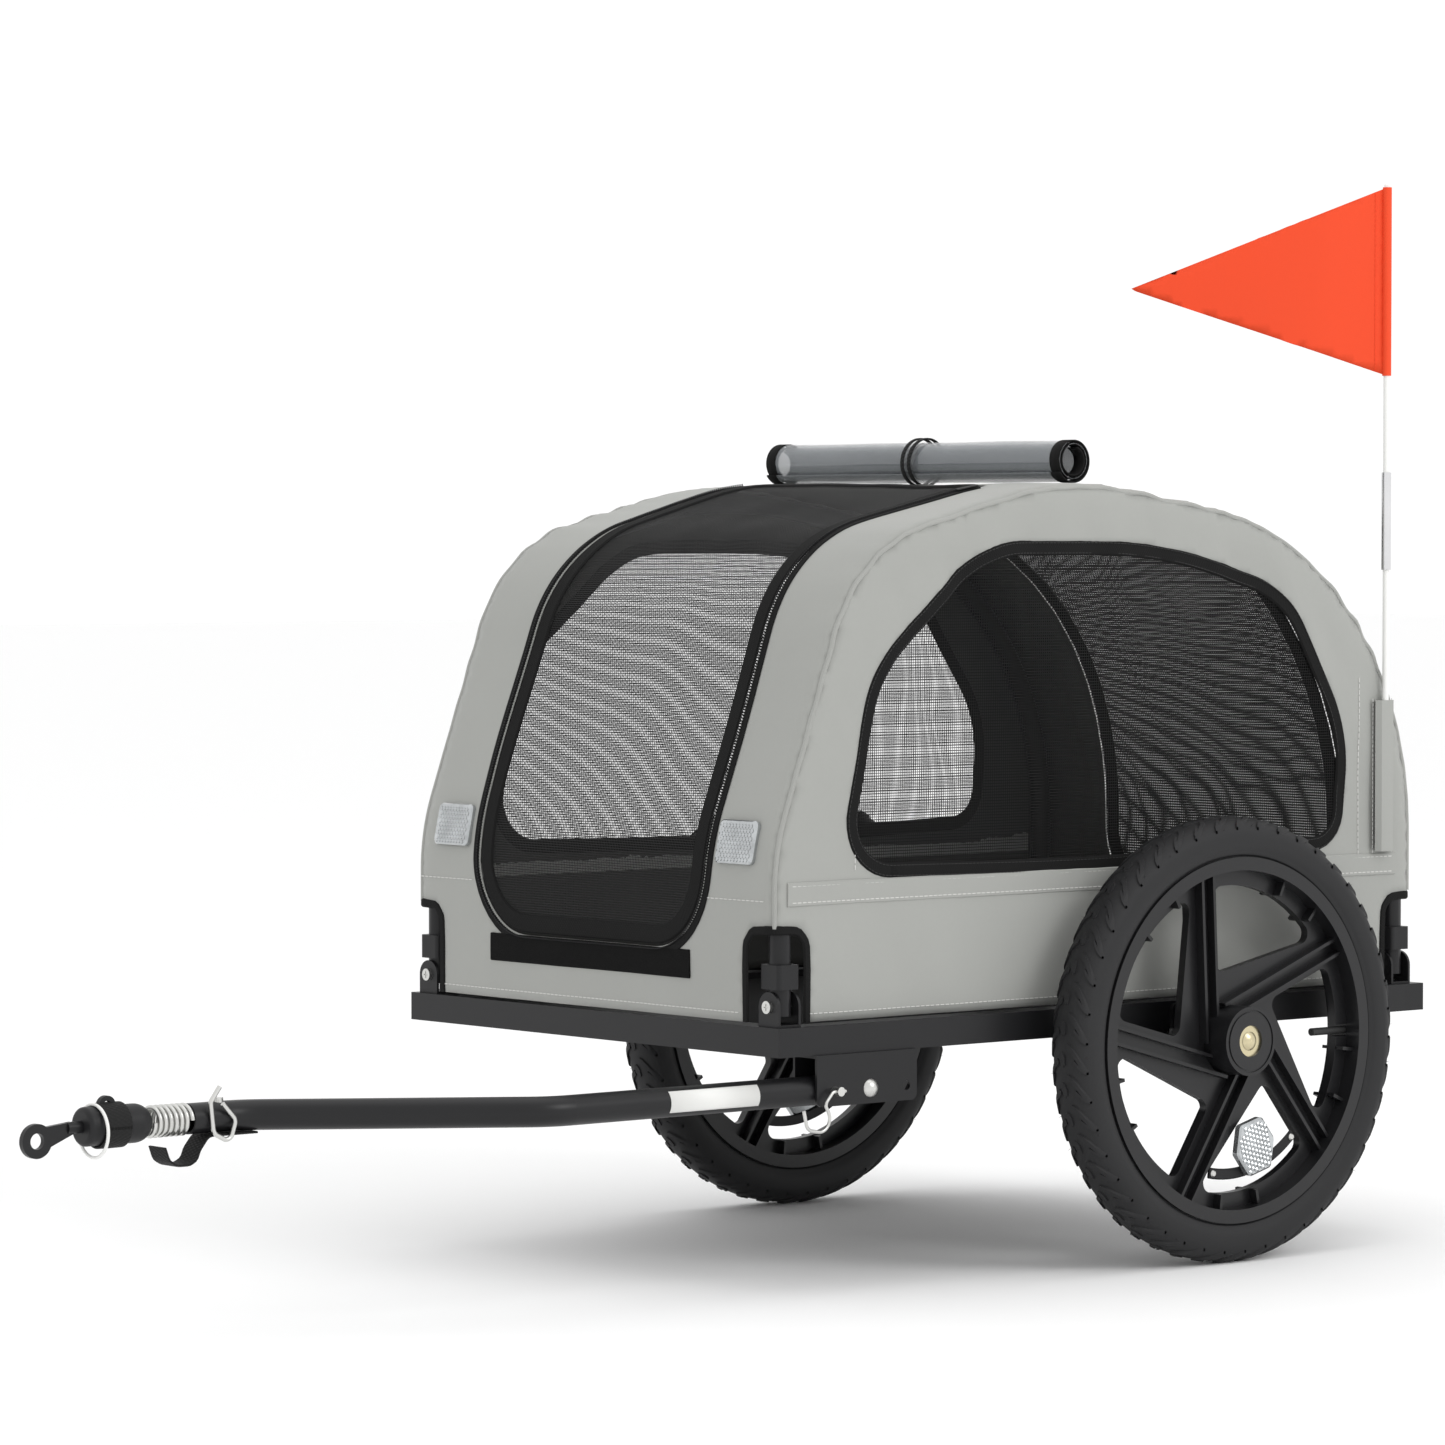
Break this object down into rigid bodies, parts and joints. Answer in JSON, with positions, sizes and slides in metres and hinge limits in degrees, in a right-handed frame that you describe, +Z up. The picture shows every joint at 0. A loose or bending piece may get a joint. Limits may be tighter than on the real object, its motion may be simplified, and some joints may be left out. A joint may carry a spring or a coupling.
{
  "type": "dog bicycle trailer",
  "caption": "Two-wheeled fabric-covered dog trailer with folding arches, mesh doors and a folding side drawbar that couples to a bicycle's rear axle.",
  "frame": {"origin": "centre of the bounding box's base, on the ground", "axes": "+Z up, -Y towards the towing bicycle, +X the trailer's left side, where the drawbar is hinged"},
  "size_m": [0.6696, 1.45, 0.975],
  "materials": {
    "black_coated_steel": "satin",
    "zinc_steel": "satin",
    "yellow_zinc": "satin",
    "chrome_steel": "polished",
    "black_plastic": "satin",
    "rim_plastic": "gloss",
    "white_plastic": "gloss",
    "clear_plastic": "clear moulded lens",
    "tyre_rubber": "matte",
    "tube_rubber": "matte",
    "grey_fabric": "coated woven nylon",
    "black_mesh": "open woven mesh",
    "black_webbing": "woven",
    "clear_film": "rolled clear film",
    "white_pole": "gloss fibreglass",
    "orange_fabric": "thin woven nylon",
    "floor_board": "matte"
  },
  "bodies": {
    "frame": {"front_rail": "black_coated_steel", "rear_rail": "black_coated_steel", "left_rail": "black_coated_steel", "right_rail": "black_coated_steel", "rail_end_caps": "black_plastic", "floor_slats": "black_coated_steel", "floor_panel": "floor_board", "axle_plates": "black_coated_steel", "axle_receivers": "zinc_steel", "axles": "yellow_zinc", "axle_nuts": "zinc_steel", "axle_spacers": "zinc_steel", "drawbar_bracket": "black_coated_steel", "pivot_bolt": "zinc_steel", "corner_brackets": "black_coated_steel", "hinge_screws": "zinc_steel", "cabin_cover": "grey_fabric", "side_panel_left": "grey_fabric", "side_panel_right": "grey_fabric", "side_window_left": "black_mesh", "side_window_right": "black_mesh", "front_reflectors": "clear_plastic", "hook_strips": "black_webbing", "flag_pocket": "grey_fabric", "rain_cover_roll": "clear_film", "roll_strap": "black_webbing", "zip_pulls": "black_plastic"},
    "left_wheel": {"rim_left": "rim_plastic", "tyre_left": "tyre_rubber", "inner_tube_left": "tube_rubber", "bearings_left": "yellow_zinc", "wheel_reflector_left": "clear_plastic"},
    "right_wheel": {"rim_right": "rim_plastic", "tyre_right": "tyre_rubber", "inner_tube_right": "tube_rubber", "bearings_right": "yellow_zinc", "wheel_reflector_right": "clear_plastic"},
    "drawbar": {"drawbar_tube": "black_coated_steel", "hitch_spring": "zinc_steel", "hitch_strap": "black_webbing", "snap_hook": "zinc_steel", "strap_bolt": "zinc_steel"},
    "locking_pin": {"lock_pin": "zinc_steel", "pin_bail": "zinc_steel"},
    "coupler": {"coupler_body": "black_plastic", "coupler_ring": "white_plastic"},
    "axle_eye": {"hitch_eye": "black_coated_steel"},
    "left_hoop": {"left_arch": "black_coated_steel"},
    "right_hoop": {"right_arch": "black_coated_steel"},
    "front_flap": {"front_door": "black_mesh"},
    "rear_flap": {"rear_door": "black_mesh"},
    "pole_base": {"flag_pole_lower": "white_pole", "pole_ferrule": "chrome_steel"},
    "pole_top": {"flag_pole_upper": "white_pole", "flag": "orange_fabric"},
    "front_left_lock": {"lock_block_front_left": "black_plastic"},
    "front_right_lock": {"lock_block_front_right": "black_plastic"},
    "rear_left_lock": {"lock_block_rear_left": "black_plastic"},
    "rear_right_lock": {"lock_block_rear_right": "black_plastic"}
  },
  "joints": [
    {"name": "left_wheel_spin", "type": "hinge", "parent": "frame", "child": "left_wheel", "pos_m": [0.3, 0.425, 0.2], "axis": [1, 0, 0], "continuous": true},
    {"name": "right_wheel_spin", "type": "hinge", "parent": "frame", "child": "right_wheel", "pos_m": [-0.3, 0.425, 0.2], "axis": [1, 0, 0], "continuous": true},
    {"name": "drawbar_fold", "type": "hinge", "parent": "frame", "child": "drawbar", "pos_m": [0.2475, 0.035, 0.177], "axis": [1, 0, 0], "range_deg": [0, 180]},
    {"name": "lock_pin_pull", "type": "slide", "parent": "frame", "child": "locking_pin", "axis": [1, 0, 0], "range_m": [0, 0.05]},
    {"name": "hitch_flex", "type": "hinge", "parent": "drawbar", "child": "coupler", "pos_m": [0.103, -0.618, 0.177], "axis": [0, 0, 1], "range_deg": [-30, 30]},
    {"name": "eye_swivel", "type": "hinge", "parent": "coupler", "child": "axle_eye", "pos_m": [0.103, -0.67, 0.177], "axis": [0, 1, 0], "range_deg": [-45, 45]},
    {"name": "left_arch_fold", "type": "hinge", "parent": "frame", "child": "left_hoop", "pos_m": [0.24, 0.33, 0.25], "axis": [0, 1, 0], "range_deg": [-88, 0]},
    {"name": "right_arch_fold", "type": "hinge", "parent": "frame", "child": "right_hoop", "pos_m": [-0.24, 0.33, 0.25], "axis": [0, 1, 0], "range_deg": [0, 74]},
    {"name": "front_door_open", "type": "hinge", "parent": "frame", "child": "front_flap", "pos_m": [0, 0.27, 0.6963], "axis": [-1, 0, 0], "range_deg": [0, 75]},
    {"name": "rear_door_open", "type": "hinge", "parent": "frame", "child": "rear_flap", "pos_m": [0, 0.48, 0.673], "axis": [1, 0, 0], "range_deg": [0, 75]},
    {"name": "flag_pole_lift", "type": "slide", "parent": "frame", "child": "pole_base", "axis": [0, 0, 1], "range_m": [0, 0.15]},
    {"name": "flag_pole_split", "type": "slide", "parent": "pole_base", "child": "pole_top", "axis": [0, 0, 1], "range_m": [0, 0.06]},
    {"name": "front_left_lock_slide", "type": "slide", "parent": "left_hoop", "child": "front_left_lock", "axis": [0, 0, 1], "range_m": [0, 0.018]},
    {"name": "front_right_lock_slide", "type": "slide", "parent": "right_hoop", "child": "front_right_lock", "axis": [0, 0, 1], "range_m": [0, 0.018]},
    {"name": "rear_left_lock_slide", "type": "slide", "parent": "left_hoop", "child": "rear_left_lock", "axis": [0, 0, 1], "range_m": [0, 0.018]},
    {"name": "rear_right_lock_slide", "type": "slide", "parent": "right_hoop", "child": "rear_right_lock", "axis": [0, 0, 1], "range_m": [0, 0.018]}
  ],
  "couplings": [
    {"joint": "right_arch_fold", "follows": "left_arch_fold", "ratio": -0.84}
  ]
}
